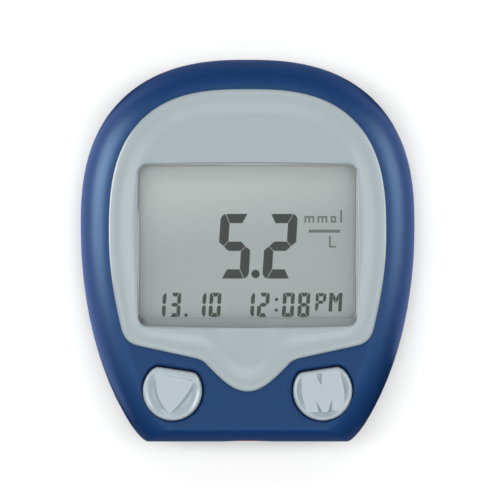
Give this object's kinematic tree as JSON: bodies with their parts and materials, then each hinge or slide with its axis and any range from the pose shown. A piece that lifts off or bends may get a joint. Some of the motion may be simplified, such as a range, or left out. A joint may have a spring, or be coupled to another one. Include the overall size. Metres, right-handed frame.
{
  "type": "blood glucose meter",
  "caption": "Hand-held blood glucose meter with a pebble-shaped body, face plate, LCD window, round keys, strip port and sliding battery cover.",
  "frame": {"origin": "on the rest plane of the back, under the middle of the body's outline", "axes": "+X across the display to its right, +Y up the display towards the crown, +Z out of the display"},
  "size_m": [0.061, 0.0696, 0.019],
  "materials": {
    "blue_shell": "satin moulded ABS",
    "pale_plate": "smooth satin moulded ABS",
    "clear_lens": "clear acrylic",
    "adhesive_tape": "grey foam adhesive",
    "pale_key": "smooth satin moulded ABS",
    "silicone": "translucent silicone rubber",
    "orange_port": "satin moulded plastic",
    "black_plastic": "matte moulded plastic",
    "gold_contact": "gold plated",
    "circuit_board": "solder resist over glass fibre laminate",
    "tinned_steel": "bright nickel",
    "lcd_glass": "clear glass",
    "lcd_film": "polarising film",
    "white_plastic": "matte moulded plastic",
    "zebra_rubber": "layered elastomer",
    "spring_steel": "plain spring steel"
  },
  "bodies": {
    "meter_body": {"front_cover": "blue_shell", "rear_cover": "blue_shell", "face_plate": "pale_plate", "display_lens": "clear_lens", "lens_tape": "adhesive_tape", "scroll_key_dome": "silicone", "memory_key_dome": "silicone", "strip_port": "orange_port", "strip_connector": "black_plastic", "strip_contact_1": "gold_contact", "strip_contact_2": "gold_contact", "strip_contact_3": "gold_contact", "main_board": "circuit_board", "processor_chip": "black_plastic", "analog_chip": "black_plastic", "clock_crystal": "tinned_steel", "buzzer": "black_plastic", "lcd_front_glass": "lcd_glass", "lcd_rear_glass": "lcd_glass", "lcd_front_polariser": "lcd_film", "lcd_reflector": "lcd_film", "lcd_frame": "white_plastic", "zebra_strip_lower": "zebra_rubber", "zebra_strip_upper": "zebra_rubber", "coin_cell_1": "tinned_steel", "coin_cell_2": "tinned_steel", "cell_spring_1": "spring_steel", "cell_spring_2": "spring_steel", "can_contact_1": "spring_steel", "can_contact_2": "spring_steel", "case_screw_1": "spring_steel", "case_screw_2": "spring_steel", "case_screw_3": "spring_steel", "board_screw_1": "spring_steel", "board_screw_2": "spring_steel"},
    "scroll_key": {"scroll_button": "pale_key"},
    "memory_key": {"memory_button": "pale_key"},
    "battery_door": {"battery_cover": "blue_shell"}
  },
  "joints": [
    {"name": "scroll_key_press", "type": "slide", "parent": "meter_body", "child": "scroll_key", "axis": [0, 0, -1], "range_m": [0, 0.0008], "stiffness_N_per_m": 1500, "deforming": ["scroll_key_dome"]},
    {"name": "memory_key_press", "type": "slide", "parent": "meter_body", "child": "memory_key", "axis": [0, 0, -1], "range_m": [0, 0.0008], "stiffness_N_per_m": 1500, "deforming": ["memory_key_dome"]},
    {"name": "battery_cover_slide", "type": "slide", "parent": "meter_body", "child": "battery_door", "axis": [0, -1, 0], "range_m": [0, 0.007]}
  ]
}
